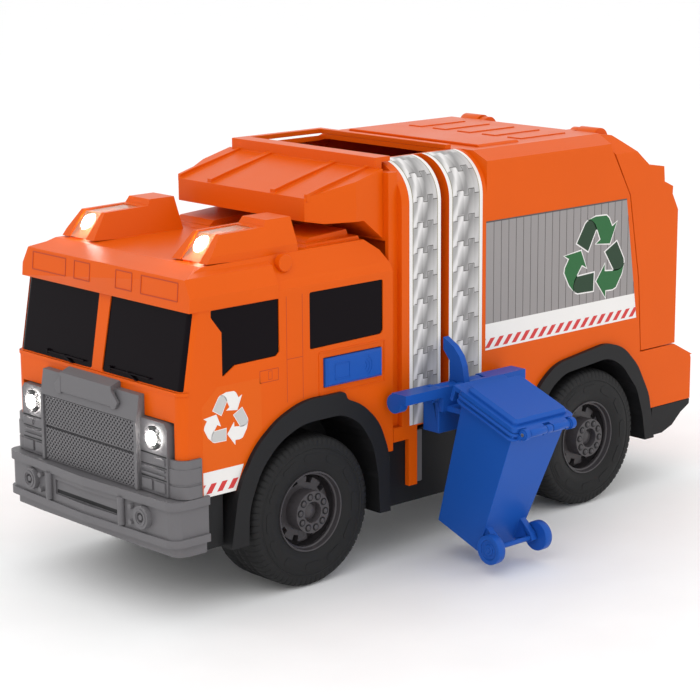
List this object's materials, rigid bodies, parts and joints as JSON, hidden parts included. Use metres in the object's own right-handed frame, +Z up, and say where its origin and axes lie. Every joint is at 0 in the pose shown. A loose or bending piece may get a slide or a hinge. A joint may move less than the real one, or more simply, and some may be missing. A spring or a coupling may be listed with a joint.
{
  "type": "toy recycling truck",
  "caption": "Toy recycling truck with a hopper body, a hinged tailgate and a side bin lifter that carries a small wheelie bin.",
  "frame": {"origin": "on the ground, on the truck's centre plane, midway between its two axles", "axes": "+X forwards, +Y to the truck's left (the lifter side), +Z up"},
  "size_m": [0.3009, 0.1656, 0.1625],
  "materials": {
    "orange_plastic": "satin",
    "blue_plastic": "satin",
    "grey_plastic": "satin",
    "black_plastic": "matte",
    "black_glass": "gloss",
    "clear_plastic": "gloss",
    "amber_plastic": "gloss",
    "rim_plastic": "satin",
    "tyre_rubber": "matte",
    "steel": "satin",
    "battery_steel": "gloss",
    "board_plastic": "satin"
  },
  "bodies": {
    "truck": {"chassis": "black_plastic", "cab_shell": "orange_plastic", "windscreen": "black_glass", "side_windows_left": "black_glass", "side_windows_right": "black_glass", "front_grille": "grey_plastic", "headlamp_lens_left": "clear_plastic", "headlamp_lens_right": "clear_plastic", "roof_lamp_lens_left": "amber_plastic", "roof_lamp_lens_right": "amber_plastic", "front_bumper": "grey_plastic", "front_fender_left": "black_plastic", "front_fender_right": "black_plastic", "rear_fender_left": "black_plastic", "rear_fender_right": "black_plastic", "refuse_body": "orange_plastic", "hopper": "orange_plastic", "gate_pins": "steel", "rear_bumper": "black_plastic", "lift_guide": "grey_plastic", "circuit_board": "board_plastic", "speaker": "black_plastic", "batteries": "battery_steel", "battery_door": "black_plastic", "lamp_diodes": "clear_plastic", "screws": "steel"},
    "front_wheels": {"front_axle": "steel", "tyre_front_left": "tyre_rubber", "tyre_front_right": "tyre_rubber", "rim_front_left": "rim_plastic", "rim_front_right": "rim_plastic"},
    "rear_wheels": {"rear_axle": "steel", "tyre_rear_left": "tyre_rubber", "tyre_rear_right": "tyre_rubber", "rim_rear_left": "rim_plastic", "rim_rear_right": "rim_plastic"},
    "carriage": {"lift_carriage": "blue_plastic"},
    "cradle": {"lift_arm": "blue_plastic", "lift_pin": "steel"},
    "wheelie_bin": {"bin_body": "blue_plastic", "bin_lid_pin": "steel"},
    "lid": {"bin_lid": "blue_plastic"},
    "bin_wheels": {"bin_axle": "blue_plastic", "bin_wheel_front": "blue_plastic", "bin_wheel_rear": "blue_plastic"},
    "gate": {"tailgate": "orange_plastic"},
    "button": {"push_button": "blue_plastic"}
  },
  "joints": [
    {"name": "front_axle_spin", "type": "hinge", "parent": "truck", "child": "front_wheels", "pos_m": [0.08, 0, 0.03], "axis": [0, 1, 0], "continuous": true},
    {"name": "rear_axle_spin", "type": "hinge", "parent": "truck", "child": "rear_wheels", "pos_m": [-0.08, 0, 0.03], "axis": [0, 1, 0], "continuous": true},
    {"name": "lift_slide", "type": "slide", "parent": "truck", "child": "carriage", "axis": [0, 0, 1], "range_m": [0, 0.084]},
    {"name": "lift_tilt", "type": "hinge", "parent": "carriage", "child": "cradle", "pos_m": [0.00725, 0.0594, 0.068], "axis": [1, 0, 0], "range_deg": [0, 115]},
    {"name": "bin_lift_off", "type": "slide", "parent": "cradle", "child": "wheelie_bin", "axis": [0, 0.342, 0.9397], "range_m": [0, 0.008]},
    {"name": "bin_lid_hinge", "type": "hinge", "parent": "wheelie_bin", "child": "lid", "pos_m": [0.00725, 0.10941, 0.06064], "axis": [-1, 0, 0], "range_deg": [0, 110]},
    {"name": "bin_wheel_spin", "type": "hinge", "parent": "wheelie_bin", "child": "bin_wheels", "pos_m": [0.00725, 0.09255, 0.0108], "axis": [1, 0, 0], "continuous": true},
    {"name": "tailgate_hinge", "type": "hinge", "parent": "truck", "child": "gate", "pos_m": [-0.099, 0, 0.157], "axis": [0, 1, 0], "range_deg": [0, 75]},
    {"name": "button_press", "type": "slide", "parent": "truck", "child": "button", "axis": [0, -1, 0], "range_m": [0, 0.0018], "stiffness_N_per_m": 300, "springref_m": -0.001}
  ],
  "couplings": [
    {"joint": "lift_tilt", "follows": "lift_slide", "rad_per_m": 23.89}
  ]
}
